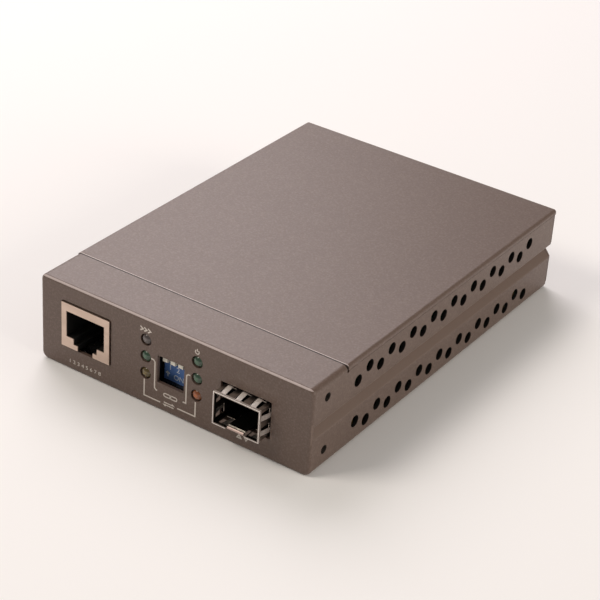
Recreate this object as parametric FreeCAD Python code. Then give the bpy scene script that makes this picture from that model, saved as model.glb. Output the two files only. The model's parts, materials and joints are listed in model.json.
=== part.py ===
# Copper-to-fibre media converter for gigabit Ethernet, in a folded steel case.
#
# The case is a tray folded from one steel sheet and a cover. The tray has the underside, both side walls, the front
# panel and a short lip that returns over the top. The cover has the rest of the top and the rear panel. A V-shaped
# guide groove runs along each side wall, and two staggered rows of vent holes lie above and below it.
# The front panel has a shielded RJ45 jack, two stacks of three LEDs, a four-way DIP switch with rocking levers and an
# SFP cage whose nose stands out of the panel. The rear panel has the DC inlet. A circuit board on four standoffs
# carries everything inside.
#
# Millimetres. +X is to the right seen from the front, +Y to the rear and +Z up.
# The origin is the centre of the case's underside.
import FreeCAD, Part
import math
import os

Vector = FreeCAD.Vector

# ---- case ----
CASE_WIDTH = 88.0
CASE_DEPTH = 124.0
CASE_HEIGHT = 26.0
SHEET = 1.0  # steel sheet of tray and cover
UNDER_FOLD_R = 2.0  # outer radius of the folds between underside and side walls
LIP_FOLD_R = 1.6  # outer radius of the folds between side walls and top lip
FRONT_EDGE_R = 0.9  # rounding round the front panel
LIP_DEPTH = 14.8  # of the tray's top lip, from the front face
SEAM = 0.3  # gap between top lip and cover
COVER_LIP = 1.4  # height of the cover's turned-down edge
REST_GAP = 0.1  # between cover edge and wall top
RELIEF_R = 0.5  # of the notch at each end of the seam
HALF_W = CASE_WIDTH / 2
FRONT = -CASE_DEPTH / 2
REAR = CASE_DEPTH / 2
LIP_REAR = FRONT + LIP_DEPTH
WALL_TOP = CASE_HEIGHT - COVER_LIP - REST_GAP
TRAY_REAR = REAR - SHEET - 0.2  # rear edge of underside and side walls

# ---- guide groove ----
GROOVE_Z = 12.8
GROOVE_MOUTH = 4.2
GROOVE_DEPTH = 2.0
GROOVE_ROOT_R = 0.4
GROOVE_LIP_R = 0.9

# ---- vent holes: two zigzag rows mirrored about the middle of the wall ----
VENT_R = 1.7
VENT_COUNT = 18
VENT_PITCH = 5.2
VENT_FIRST = 20.1  # from the front face
VENT_NEAR = 6.2  # height of the inner line from the wall's middle
VENT_FAR = 8.3  # height of the outer line
VENT_MIDDLE = CASE_HEIGHT / 2 - 0.1
VENT_SIDES = 16  # the drill is a prism, to keep the facets of so many holes few

# ---- tapped holes for mounting brackets, one pair in each side wall ----
BRACKET_Y = FRONT + 6.2
BRACKET_Z = 13.4
BRACKET_SPACING = 15.8
TAP_R = 1.25  # M3 tapping size
COLLAR_R = 2.1
COLLAR_LENGTH = 1.2

# ---- circuit board ----
BOARD_TOP = 7.0
BOARD_THICK = 1.6
BOARD_BOTTOM = BOARD_TOP - BOARD_THICK
BOARD_HALF_W = 41.0
BOARD_FRONT = FRONT + 3.2
BOARD_REAR = 55.0
POST_X = 38.0
POST_Y = (-37.0, 48.0)
POST_R = 2.5
PIN_TAIL = 1.2  # how far solder pins reach below the board
PIN_PLAY = 0.1

# ---- RJ45 jack ----
JACK_X = -28.4
JACK_WIDTH = 16.3
JACK_HEIGHT = 13.45
JACK_DEPTH = 21.0
JACK_PROUD = 0.4  # of the front panel
JACK_SHEET = 0.3
JACK_CUT_GAP = 0.4  # between shield and panel cut-out
PORT_WIDTH = 12.9
PORT_LOW = 3.25  # heights above the jack's underside
PORT_HIGH = 11.1
KEY_WIDTH = 8.0
KEY_LOW = 1.5
LATCH_WIDTH = 5.2
PORT_DEPTH = 14.0
CONTACT_PITCH = 1.02
CONTACT_WIDTH = 0.45
CONTACT_THICK = 0.3

# ---- LEDs ----
LED_X = 8.3
LED_LOW_Z = 9.5
LED_PITCH = 5.08
LED_R = 1.5
LED_HOLE_R = 1.75
LED_PROUD = 0.25
LED_LENGTH = 5.4
LED_FLANGE = 1.0
LED_CROWN_R = 1.9  # sphere of the domed front
LED_FLANGE_R = 1.9
LED_NAMES = {-1: ("yellow", "green", "clear"), 1: ("amber", "green", "power")}

# ---- DIP switch ----
DIP_X = 0.3
DIP_WIDTH = 11.5
DIP_WINDOW = (-4.4, 4.3, 8.4, 16.6)  # x and z of the panel cut-out
DIP_FACE = FRONT + 4.4
DIP_BACK = FRONT + 12.6
DIP_TOP = 16.0
DIP_SKIRT = 0.8  # wall of the housing round the base
DIP_BASE_HEIGHT = 1.2
LEVER_COUNT = 4
LEVER_PITCH = 2.54
LEVER_WIDTH = 1.5
LEVER_THICK = 1.4
LEVER_GAP = 0.25  # to the housing at each side
LEVER_TIP = FRONT + 2.0
LEVER_Y = FRONT + 7.0  # pivot
LEVER_Z = 14.4
LEVER_BARREL_R = 1.0
AXLE_R = 0.35
AXLE_PLAY = 0.05  # running clearance of the levers on their axle
AXLE_OVERHANG = 0.6  # of the axle past the outer levers

# ---- SFP cage ----
CAGE_X = 23.75
CAGE_WIDTH = 14.2
CAGE_HEIGHT = 9.4
CAGE_SHEET = 0.25
CAGE_LENGTH = 48.6
CAGE_NOSE = 4.0  # in front of the panel
CAGE_CUT = (15.9, 31.7, 6.3, 17.4)  # x and z of the panel cut-out
CAGE_FRONT = FRONT - CAGE_NOSE
SPRING_SHEET = 0.15
SPRING_WIDTH = 1.5
SPRING_GAP = 0.6
SPRING_REACH = 4.6
SPRING_RISE = 0.55
SPRING_BAND = 0.7
SPRING_PITCH_X = 4.6
SPRING_PITCH_Z = 4.5
TONGUE_WIDTH = 5.2
TONGUE_GAP = 0.5
TONGUE_LENGTH = 13.0
TONGUE_RISE = 0.9

# ---- DC inlet ----
INLET_X = 0.0
INLET_WIDTH = 9.0
INLET_HEIGHT = 11.0
INLET_DEPTH = 14.0
INLET_BORE_R = 3.2
INLET_BORE_DEPTH = 9.5
INLET_PIN_R = 1.05
INLET_Z = BOARD_TOP + 6.5

# ---- cover screws ----
SCREW_X = 39.0
SCREW_Z = 20.0
SCREW_R = 1.2
HEAD_R = 2.8
HEAD_HIGH = 1.5
RECESS = (1.3, 0.3, 0.9)  # half length, half width and depth of the cross recess

EPS = 0.05  # assembly play between fixed pieces
OVER = 1.0  # how far a cutting tool passes the surface that it cuts


# ---- helpers ----
def box(x0, x1, y0, y1, z0, z1):
    """Box between two corners."""
    return Part.makeBox(x1 - x0, y1 - y0, z1 - z0, Vector(x0, y0, z0))


def rod(radius, start, end):
    """Cylinder between two points."""
    along = Vector(*end) - Vector(*start)
    return Part.makeCylinder(radius, along.Length, Vector(*start), along)


def prism_rod(radius, sides, x0, x1, y, z):
    """Regular prism along X whose area is that of a cylinder of the given radius."""
    turn = 2 * math.pi / sides
    reach = radius * math.sqrt(turn / math.sin(turn))
    corners = []
    for i in range(sides):
        angle = (i + 0.5) * turn
        corners.append(Vector(x0, y + reach * math.cos(angle), z + reach * math.sin(angle)))
    return Part.Face(Part.makePolygon(corners + corners[:1])).extrude(Vector(x1 - x0, 0, 0))


def fuse(shapes):
    """One shape from several that touch or overlap."""
    joined = shapes[0]
    if len(shapes) > 1:
        joined = shapes[0].multiFuse(shapes[1:]).removeSplitter()
    return joined


def cut(shape, tools):
    """The shape less each of the tools."""
    return shape.cut(Part.makeCompound(tools)).removeSplitter()


def group(solids):
    """Separate solids in one node."""
    return Part.makeCompound(solids)


def rounded_wire(corners):
    """Closed wire through corners of (vector, radius), with an arc at each corner that has a radius."""
    edges = []
    legs = []
    for i, (point, radius) in enumerate(corners):
        back = (corners[i - 1][0] - point).normalize()
        ahead = (corners[(i + 1) % len(corners)][0] - point).normalize()
        if radius == 0:
            legs.append((point, point, None))
            continue
        half = back.getAngle(ahead) / 2
        reach = radius / math.tan(half)
        inward = (back + ahead).normalize()
        middle = point + inward * (radius / math.sin(half) - radius)
        legs.append((point + back * reach, point + ahead * reach, middle))
    for i, (start, end, middle) in enumerate(legs):
        if middle is not None:
            edges.append(Part.Arc(start, middle, end).toShape())
        following = legs[(i + 1) % len(legs)][0]
        if (following - end).Length > 1e-6:
            edges.append(Part.LineSegment(end, following).toShape())
    return Part.Wire(edges)


def prism_y(corners, y0, y1):
    """Extrudes an outline of (x, z, radius) corners from y0 to y1."""
    wire = rounded_wire([(Vector(x, y0, z), r) for x, z, r in corners])
    return Part.Face(wire).extrude(Vector(0, y1 - y0, 0))


def prism_x(corners, x0, x1):
    """Extrudes an outline of (y, z, radius) corners from x0 to x1."""
    wire = rounded_wire([(Vector(x0, y, z), r) for y, z, r in corners])
    return Part.Face(wire).extrude(Vector(x1 - x0, 0, 0))


def rectangle(x0, x1, z0, z1, radius=0.0):
    """Corners of a rectangle for prism_x and prism_y."""
    return [(x0, z0, radius), (x1, z0, radius), (x1, z1, radius), (x0, z1, radius)]


def strip_x(path, thick, x0, x1):
    """Bent strip of sheet: a path of (y, z) points with a thickness, extruded from x0 to x1."""
    points = [Vector(x0, y, z) for y, z in path]
    sides = {1: [], -1: []}
    for i, point in enumerate(points):
        into = (point - points[i - 1]).normalize() if i else None
        out = (points[i + 1] - point).normalize() if i + 1 < len(points) else None
        into, out = into or out, out or into
        normal = Vector(0, -(into.z + out.z), into.y + out.y).normalize()
        stretch = 1 / normal.dot(Vector(0, -into.z, into.y))
        for side, found in sides.items():
            found.append(point + normal * (side * stretch * thick / 2))
    outline = sides[1] + sides[-1][::-1]
    return Part.Face(Part.makePolygon(outline + outline[:1])).extrude(Vector(x1 - x0, 0, 0))


def mirror_x(shape):
    """The same shape on the other side of the middle plane."""
    return shape.mirror(Vector(0, 0, 0), Vector(1, 0, 0))


def save(name, shape):
    """Writes one sub-part, after testing that it is made of valid closed solids."""
    for solid in shape.Solids:
        if not solid.isValid() or solid.Volume <= 0:
            raise ValueError(f"{name} has a bad solid")
    if not shape.Solids:
        raise ValueError(f"{name} has no solid")
    shape.exportStep(f"parts/{name}.step")


# ---- case ----
def tray_outline(inset, grooved=True):
    """Section of the tray across its width, its corners set in from the outer face by the sheet or by nothing."""
    x = HALF_W - inset
    low = inset
    high = CASE_HEIGHT - inset
    slope = math.atan2(GROOVE_DEPTH, GROOVE_MOUTH / 2)  # of the groove's flanks from the wall
    mouth = GROOVE_MOUTH / 2 + inset * math.tan(slope / 2)
    root_x = HALF_W - GROOVE_DEPTH - inset / math.cos(math.pi / 2 - slope) * 1.0
    lip_r = GROOVE_LIP_R
    root_r = GROOVE_ROOT_R + inset
    if inset:
        lip_r = GROOVE_LIP_R - inset if GROOVE_LIP_R > inset else 0.0
    right = [(x, low, UNDER_FOLD_R - inset), (x, high, LIP_FOLD_R - inset)]
    if grooved:
        right[1:1] = [
            (x, GROOVE_Z - mouth, lip_r),
            (root_x, GROOVE_Z, root_r),
            (x, GROOVE_Z + mouth, lip_r),
        ]
    left = [(-px, pz, r) for px, pz, r in reversed(right)]
    return right + left


def vent_holes():
    """Drills for the vents of both side walls."""
    drills = []
    for i in range(VENT_COUNT):
        y = FRONT + VENT_FIRST + i * VENT_PITCH
        reach = VENT_FAR if i % 2 else VENT_NEAR
        for z in (VENT_MIDDLE - reach, VENT_MIDDLE + reach):
            for x0, x1 in ((-HALF_W - OVER, -HALF_W + 2 * SHEET), (HALF_W - 2 * SHEET, HALF_W + OVER)):
                drills.append(prism_rod(VENT_R, VENT_SIDES, x0, x1, y, z))
    return drills


def front_openings():
    """Cut-outs of the front panel for the jack, the cage, the switch and the LEDs."""
    y0 = FRONT - OVER
    y1 = FRONT + SHEET + OVER
    jack_half = JACK_WIDTH / 2 + JACK_CUT_GAP
    jack_z = (BOARD_TOP - JACK_CUT_GAP, BOARD_TOP + JACK_HEIGHT + JACK_CUT_GAP)
    tools = [
        prism_y(rectangle(JACK_X - jack_half, JACK_X + jack_half, *jack_z, 0.9), y0, y1),
        prism_y(rectangle(*CAGE_CUT, 0.3), y0, y1),
        prism_y(rectangle(*DIP_WINDOW, 0.3), y0, y1),
    ]
    for side in (-1, 1):
        for level in range(3):
            z = LED_LOW_Z + level * LED_PITCH
            tools.append(rod(LED_HOLE_R, (side * LED_X, y0, z), (side * LED_X, y1, z)))
    return tools


def fold_reliefs():
    """Small round notches where the seam, the top lip and the wall tops meet."""
    y = LIP_REAR + SEAM / 2
    return [rod(RELIEF_R, (side * (HALF_W - 2 * SHEET), y, WALL_TOP), (side * (HALF_W + OVER), y, WALL_TOP))
            for side in (-1, 1)]


def rear_flange():
    """Ears folded in from the right wall, above and below the groove, the upper one tapped for a cover screw."""
    y0 = TRAY_REAR - SHEET
    upper = box(35.5, HALF_W - SHEET / 2, y0, TRAY_REAR, 16.4, WALL_TOP - 1.0)
    lower = box(35.5, HALF_W - SHEET / 2, y0, TRAY_REAR, 2.6, 9.4)
    tap = rod(TAP_R, (SCREW_X, y0 - OVER, SCREW_Z), (SCREW_X, TRAY_REAR + OVER, SCREW_Z))
    return [cut(upper, [tap]), lower]


def base_tray():
    """Underside, side walls, front panel and top lip, folded from one sheet with dressed corners."""
    panel = prism_y(tray_outline(0, grooved=False), FRONT, FRONT + SHEET)
    walls = prism_y(tray_outline(0), FRONT + SHEET, TRAY_REAR)
    hollow = prism_y(tray_outline(SHEET), FRONT + SHEET, TRAY_REAR + OVER)
    shell = fuse([panel, walls])
    rim = [e for e in shell.Edges if abs(e.BoundBox.YMin - FRONT) < 1e-6 and e.BoundBox.YLength < 1e-6]
    shell = shell.makeFillet(FRONT_EDGE_R, rim)
    above = box(-HALF_W - OVER, HALF_W + OVER, LIP_REAR, REAR + OVER, WALL_TOP, CASE_HEIGHT + OVER)
    tray = cut(shell, [hollow, above] + vent_holes() + fold_reliefs() + front_openings())
    extras = rear_flange()
    extras += [mirror_x(s) for s in extras]
    taps = []
    for side in (-1, 1):
        for z in (BRACKET_Z - BRACKET_SPACING / 2, BRACKET_Z + BRACKET_SPACING / 2):
            wall = side * (HALF_W - SHEET / 2)
            tip = side * (HALF_W - SHEET - COLLAR_LENGTH)
            extras.append(rod(COLLAR_R, (wall, BRACKET_Y, z), (tip, BRACKET_Y, z)))
            taps.append(rod(TAP_R, (side * (HALF_W + OVER), BRACKET_Y, z), (tip - side * OVER, BRACKET_Y, z)))
    return cut(fuse([tray] + extras), taps)


def top_cover():
    """Top sheet with turned-down edges, the rear panel folded from it, and two tabs that tuck under the tray's lip."""
    y0 = LIP_REAR + SEAM
    edge_low = CASE_HEIGHT - COVER_LIP
    under = CASE_HEIGHT - SHEET
    inner = HALF_W - SHEET
    section = [
        (-HALF_W, edge_low, 0),
        (-inner, edge_low, 0),
        (-inner, under, 0),
        (inner, under, 0),
        (inner, edge_low, 0),
        (HALF_W, edge_low, 0),
        (HALF_W, CASE_HEIGHT, 0.9),
        (-HALF_W, CASE_HEIGHT, 0.9),
    ]
    top = prism_y(section, y0, REAR)
    panel_half = HALF_W - 0.4
    slot = GROOVE_MOUTH / 2 + 0.2
    root = HALF_W - GROOVE_DEPTH - 0.2
    right = [
        (panel_half, 0.3, UNDER_FOLD_R),
        (panel_half, GROOVE_Z - slot, 0.4),
        (root, GROOVE_Z, 0.5),
        (panel_half, GROOVE_Z + slot, 0.4),
        (panel_half, under + SHEET / 2, 0),
    ]
    left = [(-x, z, r) for x, z, r in reversed(right)]
    panel = prism_y(right + left, REAR - SHEET, REAR)
    tabs = [box(s * 26 - 7, s * 26 + 7, LIP_REAR - 5.0, y0 + 3.0, under - 0.9, under - EPS / 2) for s in (-1, 1)]
    risers = [box(s * 26 - 7, s * 26 + 7, y0, y0 + 3.0, under - 0.9, under) for s in (-1, 1)]
    cover = fuse([top, panel] + tabs + risers)
    crest = [
        e
        for e in cover.Edges
        if abs(e.BoundBox.YMin - REAR) < 1e-6 and abs(e.BoundBox.ZMin - CASE_HEIGHT) < 1e-6
    ]
    cover = cover.makeFillet(0.7, crest)
    half = INLET_WIDTH / 2 + 0.3
    tools = [
        prism_y(rectangle(INLET_X - half, INLET_X + half, BOARD_TOP - 0.3, BOARD_TOP + INLET_HEIGHT + 0.3, 0.5),
                REAR - SHEET - OVER, REAR + OVER)
    ]
    for side in (-1, 1):
        tools.append(rod(1.65, (side * SCREW_X, REAR - 3.0, SCREW_Z), (side * SCREW_X, REAR + OVER, SCREW_Z)))
    return cut(cover, tools)


def pan_screw(seat, along, length, recessed=True):
    """Pan-head screw: its head stands on seat, and the shank runs along the given direction."""
    profile = [
        Vector(0, 0, -length),
        Vector(SCREW_R, 0, -length),
        Vector(SCREW_R, 0, 0),
        Vector(HEAD_R, 0, 0),
        Vector(HEAD_R, 0, HEAD_HIGH * 0.5),
        Vector(HEAD_R * 0.6, 0, HEAD_HIGH),
        Vector(0, 0, HEAD_HIGH),
    ]
    screw = Part.Face(Part.makePolygon(profile + profile[:1])).revolve(Vector(0, 0, 0), Vector(0, 0, 1), 360)
    if recessed:
        long, wide, floor = RECESS
        cross = [box(-long, long, -wide, wide, HEAD_HIGH - floor, HEAD_HIGH + OVER),
                 box(-wide, wide, -long, long, HEAD_HIGH - floor, HEAD_HIGH + OVER)]
        screw = cut(screw, cross)
    screw.Placement = FreeCAD.Placement(Vector(*seat), FreeCAD.Rotation(Vector(0, 0, -1), Vector(*along)))
    return screw


def cover_screws():
    """Two screws through the rear panel into the tray's tapped ears."""
    return group([pan_screw((s * SCREW_X, REAR, SCREW_Z), (0, -1, 0), 4.5) for s in (-1, 1)])


# ---- circuit board and what holds it ----
def post_places():
    return [(s * POST_X, y) for s in (-1, 1) for y in POST_Y]


def board_standoffs():
    """Four hexagonal standoffs on the tray's floor."""
    posts = []
    for x, y in post_places():
        corners = [Vector(x + POST_R * math.cos(i * math.pi / 3), y + POST_R * math.sin(i * math.pi / 3), SHEET)
                   for i in range(6)]
        post = Part.Face(Part.makePolygon(corners + corners[:1])).extrude(Vector(0, 0, BOARD_BOTTOM - SHEET))
        posts.append(cut(post, [rod(SCREW_R + EPS, (x, y, SHEET - OVER), (x, y, BOARD_BOTTOM + OVER))]))
    return group(posts)


def board_screws():
    """Four screws that hold the board down on its standoffs."""
    return group([pan_screw((x, y, BOARD_TOP), (0, 0, -1), 5.0, recessed=False) for x, y in post_places()])


def circuit_board(pins):
    """The board, with a hole for each screw and each solder pin."""
    board = box(-BOARD_HALF_W, BOARD_HALF_W, BOARD_FRONT, BOARD_REAR, BOARD_BOTTOM, BOARD_TOP)
    front_notch = box(CAGE_CUT[0] - 1.5, CAGE_CUT[1] + 1.5, BOARD_FRONT - OVER, BOARD_FRONT + 3.0,
                      BOARD_BOTTOM - OVER, BOARD_TOP + OVER)
    tools = [front_notch]
    for x, y in post_places():
        tools.append(rod(1.6, (x, y, BOARD_BOTTOM - OVER), (x, y, BOARD_TOP + OVER)))
    for pin in pins:
        b = pin.BoundBox
        tools.append(box(b.XMin - PIN_PLAY, b.XMax + PIN_PLAY, b.YMin - PIN_PLAY, b.YMax + PIN_PLAY,
                         BOARD_BOTTOM - OVER, BOARD_TOP + OVER))
    return cut(board, tools)


def solder_pin(x, y, top, wide=0.5, deep=0.5):
    """Square pin from the given height down through the board."""
    return box(x - wide / 2, x + wide / 2, y - deep / 2, y + deep / 2, BOARD_BOTTOM - PIN_TAIL, top)


# ---- RJ45 jack ----
def port_outline(grow=0.0):
    """Keyed outline of the plug opening, its latch slot open towards the underside."""
    z = BOARD_TOP
    steps = [
        (LATCH_WIDTH / 2, -OVER),
        (LATCH_WIDTH / 2, KEY_LOW),
        (KEY_WIDTH / 2, KEY_LOW),
        (KEY_WIDTH / 2, PORT_LOW),
        (PORT_WIDTH / 2, PORT_LOW),
        (PORT_WIDTH / 2, PORT_HIGH),
    ]
    right = [(JACK_X + x + grow, z + h, 0) for x, h in steps]
    left = [(2 * JACK_X - x, h, r) for x, h, r in reversed(right)]
    return right + left


def rj45_shield():
    """Tin-plated shell with the keyed opening, a ground spring in each flank and two board locks."""
    y0 = FRONT - JACK_PROUD
    y1 = y0 + JACK_DEPTH
    half = JACK_WIDTH / 2
    top = BOARD_TOP + JACK_HEIGHT
    t = JACK_SHEET
    shell = box(JACK_X - half, JACK_X + half, y0, y1, BOARD_TOP, top)
    inside = box(JACK_X - half + t, JACK_X + half - t, y0 + t, y1 - t, BOARD_TOP - OVER, top - t)
    tools = [inside, prism_y(port_outline(), y0 - OVER, y0 + t + OVER)]
    springs = []
    for side in (-1, 1):
        x = JACK_X + side * half
        z = BOARD_TOP + 7.0
        tools.append(box(x - 2 * t, x + 2 * t, y0 + 2.2, y0 + 9.0, z - 1.6, z + 1.6))
        lock = solder_pin(x - side * t / 2, y0 + 9.0, BOARD_TOP + 0.6, t, 1.5)
        springs.append(lock)
    for side in (-1, 1):
        x = JACK_X + side * half
        z = BOARD_TOP + 7.0
        leaf = [(x, y0 + 1.8), (x - side * t, y0 + 1.8), (x - side * t, y0 + 8.2), (x, y0 + 8.2)]
        face = Part.Face(Part.makePolygon([Vector(px, py, z - 1.2) for px, py in leaf + leaf[:1]]))
        springs.append(face.extrude(Vector(0, 0, 2.4)))
    return fuse([cut(shell, tools)] + springs)


def rj45_housing():
    """Black insulator that fills the shield, with the plug's cavity and a slot for each contact."""
    y0 = FRONT - JACK_PROUD + JACK_SHEET + EPS
    y1 = FRONT - JACK_PROUD + JACK_DEPTH - JACK_SHEET - EPS
    half = JACK_WIDTH / 2 - JACK_SHEET - EPS
    top = BOARD_TOP + JACK_HEIGHT - JACK_SHEET - EPS
    block = box(JACK_X - half, JACK_X + half, y0, y1, BOARD_TOP, top)
    tools = [prism_y(port_outline(0.0), y0 - OVER, y0 + PORT_DEPTH)]
    for x in contact_places():
        w = CONTACT_WIDTH / 2 + EPS
        tools.append(box(x - w, x + w, y0 + 0.9, y1 + OVER, CONTACT_ROOF - CONTACT_THICK - EPS, CONTACT_ROOF + EPS))
        tools.append(box(x - w, x + w, CONTACT_BACK - EPS, y1 + OVER, BOARD_TOP - OVER, CONTACT_ROOF + EPS))
        tools.append(box(x - w, x + w, y0 + 0.9, y0 + PORT_DEPTH - 1.0, BOARD_TOP + PORT_HIGH - 1.0, CONTACT_ROOF))
    return cut(block, tools)


CONTACT_ROOF = BOARD_TOP + PORT_HIGH + 0.9
CONTACT_BACK = FRONT + 17.6


def contact_places():
    """Centres of the eight jack contacts."""
    return [JACK_X + (i - 3.5) * CONTACT_PITCH for i in range(8)]


def rj45_contacts():
    """Eight gold-plated wires: up from the board, forward over the cavity and back down into it as springs."""
    z_roof = CONTACT_ROOF - CONTACT_THICK / 2
    y_back = CONTACT_BACK + CONTACT_THICK / 2
    path = [
        (y_back, BOARD_BOTTOM - PIN_TAIL),
        (y_back, z_roof),
        (FRONT + 2.4, z_roof),
        (FRONT + 2.0, z_roof - 0.5),
        (FRONT + 9.5, BOARD_TOP + 8.2),
    ]
    wires = []
    for x in contact_places():
        wires.append(strip_x(path, CONTACT_THICK, x - CONTACT_WIDTH / 2, x + CONTACT_WIDTH / 2))
    return group(wires)


# ---- SFP cage ----
def spring_places():
    """Middle of each ground spring as (face, offset along that face)."""
    places = [(face, i * SPRING_PITCH_X) for face in ("top", "bottom") for i in (-1, 0, 1)]
    places = [p for p in places if p != ("bottom", 0.0)]
    return places + [(face, s * SPRING_PITCH_Z / 2) for face in ("left", "right") for s in (-1, 1)]


def on_cage_face(shape, face, offset):
    """Carries a shape made on the cage's top, at x = 0 and z = 0 there, to one of its faces."""
    spins = {"top": 0, "right": 90, "bottom": 180, "left": 270}
    reach = CAGE_HEIGHT / 2 if face in ("top", "bottom") else CAGE_WIDTH / 2
    placed = shape.copy()
    placed.translate(Vector(offset, 0, reach))
    placed.rotate(Vector(0, 0, 0), Vector(0, 1, 0), spins[face])
    placed.translate(Vector(CAGE_X, CAGE_FRONT, BOARD_TOP + CAGE_HEIGHT / 2))
    return placed


def sfp_cage():
    """Stamped cage: a long box open in front, with a latch tongue in its floor and pins along its sides."""
    t = CAGE_SHEET
    x0 = CAGE_X - CAGE_WIDTH / 2
    x1 = CAGE_X + CAGE_WIDTH / 2
    z0 = BOARD_TOP
    z1 = BOARD_TOP + CAGE_HEIGHT
    y1 = CAGE_FRONT + CAGE_LENGTH
    shell = box(x0, x1, CAGE_FRONT, y1, z0, z1)
    tools = [box(x0 + t, x1 - t, CAGE_FRONT - OVER, y1 - t, z0 + t, z1 - t)]
    tools.append(box(x0 + 1.2, x1 - 1.2, y1 - 11.5, y1 + OVER, z0 - OVER, z0 + t + 0.1))
    half = TONGUE_WIDTH / 2 + TONGUE_GAP
    tools.append(box(CAGE_X - half, CAGE_X + half, CAGE_FRONT - OVER, CAGE_FRONT + TONGUE_LENGTH, z0 - OVER, z0 + t + 0.1))
    window = box(-SPRING_WIDTH / 2 - SPRING_GAP, SPRING_WIDTH / 2 + SPRING_GAP, SPRING_BAND + 0.3, SPRING_REACH,
                 -t - 0.1, OVER)
    for face, offset in spring_places():
        tools.append(on_cage_face(window, face, offset))
    shell = cut(shell, tools)
    root_y = CAGE_FRONT + TONGUE_LENGTH
    tongue = strip_x(
        [(root_y + 0.5, z0 + t / 2), (root_y - 1.0, z0 + t / 2), (CAGE_FRONT + 1.0, z0 + TONGUE_RISE),
         (CAGE_FRONT + 0.15, z0 + TONGUE_RISE - 0.7)],
        t, CAGE_X - TONGUE_WIDTH / 2, CAGE_X + TONGUE_WIDTH / 2)
    return fuse([shell, tongue] + cage_pins())


def cage_pins():
    """Press-in pins of the cage's side walls."""
    pins = []
    for side in (-1, 1):
        x = CAGE_X + side * (CAGE_WIDTH / 2 - CAGE_SHEET / 2)
        for k in range(4):
            pins.append(solder_pin(x, CAGE_FRONT + 13.0 + k * 10.0, BOARD_TOP + 0.5, CAGE_SHEET, 0.8))
    return pins


def sfp_ground_springs():
    """Spring band round the cage's nose, whose fingers bow outwards to touch the panel's cut-out."""
    s = SPRING_SHEET
    z0 = BOARD_TOP
    z1 = BOARD_TOP + CAGE_HEIGHT
    x0 = CAGE_X - CAGE_WIDTH / 2
    x1 = CAGE_X + CAGE_WIDTH / 2
    y1 = CAGE_FRONT + SPRING_BAND
    band = box(x0 - s, x1 + s, CAGE_FRONT, y1, z0 - s, z1 + s)
    gap = TONGUE_WIDTH / 2 + TONGUE_GAP
    core = [box(x0, x1, CAGE_FRONT - OVER, y1 + OVER, z0, z1),
            box(CAGE_X - gap, CAGE_X + gap, CAGE_FRONT - OVER, y1 + OVER, z0 - s - OVER, z0 + OVER)]
    band = cut(band, core)
    finger = spring_finger()
    fingers = [on_cage_face(finger, face, offset) for face, offset in spring_places()]
    return fuse([band] + fingers)


def spring_finger():
    """One finger on the cage's top: two concentric arcs from the band back to the cage, swept across its width."""
    s = SPRING_SHEET
    start = SPRING_BAND - 0.1
    end = SPRING_REACH + 0.3
    middle = (start + end) / 2
    x0 = -SPRING_WIDTH / 2
    low = [Vector(x0, start, 0), Vector(x0, middle, SPRING_RISE), Vector(x0, end, 0)]
    high = [Vector(x0, start, s), Vector(x0, middle, SPRING_RISE + s), Vector(x0, end, s)]
    edges = [
        Part.Arc(*low).toShape(),
        Part.LineSegment(low[2], high[2]).toShape(),
        Part.Arc(*high).toShape(),
        Part.LineSegment(high[0], low[0]).toShape(),
    ]
    return Part.Face(Part.Wire(Part.__sortEdges__(edges))).extrude(Vector(SPRING_WIDTH, 0, 0))


def sfp_connector():
    """Host connector inside the cage's rear, with the slot for the module's edge card."""
    y1 = CAGE_FRONT + CAGE_LENGTH - CAGE_SHEET - 1.0
    y0 = y1 - 9.2
    body = box(CAGE_X - 5.2, CAGE_X + 5.2, y0, y1, BOARD_TOP, BOARD_TOP + 6.2)
    nose_cut = box(CAGE_X - 6, CAGE_X + 6, y0 - OVER, y0 + 3.0, BOARD_TOP - OVER, BOARD_TOP + 1.4)
    slot = box(CAGE_X - 4.5, CAGE_X + 4.5, y0 - OVER, y0 + 6.5, BOARD_TOP + 3.2, BOARD_TOP + 4.5)
    return cut(body, [nose_cut, slot])


def sfp_connector_contacts():
    """Solder feet of the host connector, one row behind it."""
    y1 = CAGE_FRONT + CAGE_LENGTH - CAGE_SHEET - 1.0
    feet = []
    for i in range(10):
        x = CAGE_X + (i - 4.5) * 0.8
        feet.append(box(x - 0.16, x + 0.16, y1, y1 + 0.8, BOARD_TOP, BOARD_TOP + 0.2))
    return group(feet)


# ---- DIP switch ----
def lever_places():
    """Middle of each lever across the switch."""
    return [DIP_X + (i - (LEVER_COUNT - 1) / 2) * LEVER_PITCH for i in range(LEVER_COUNT)]


def dip_axle_ends():
    places = lever_places()
    reach = LEVER_WIDTH / 2 + AXLE_OVERHANG
    return (places[0] - reach, LEVER_Y, LEVER_Z), (places[-1] + reach, LEVER_Y, LEVER_Z)


def dip_housing():
    """Blue moulding with a slot for each lever, a tunnel for their axle and a pocket for the base."""
    half = DIP_WIDTH / 2
    body = box(DIP_X - half, DIP_X + half, DIP_FACE, DIP_BACK, BOARD_TOP, DIP_TOP)
    upright = [e for e in body.Edges if e.BoundBox.ZLength > 1 and abs(e.BoundBox.YMin - DIP_BACK) < 1e-6]
    body = body.makeChamfer(0.4, upright)
    inner = half - DIP_SKIRT
    tools = [box(DIP_X - inner, DIP_X + inner, DIP_FACE + DIP_SKIRT, DIP_BACK - DIP_SKIRT,
                 BOARD_TOP - OVER, BOARD_TOP + DIP_BASE_HEIGHT)]
    slot_half = LEVER_WIDTH / 2 + LEVER_GAP
    for x in lever_places():
        tools.append(box(x - slot_half, x + slot_half, DIP_FACE - OVER, LEVER_Y + LEVER_BARREL_R + 0.3, 12.3, 15.7))
    tools.append(rod(AXLE_R, *dip_axle_ends()))
    return cut(body, tools)


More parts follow.
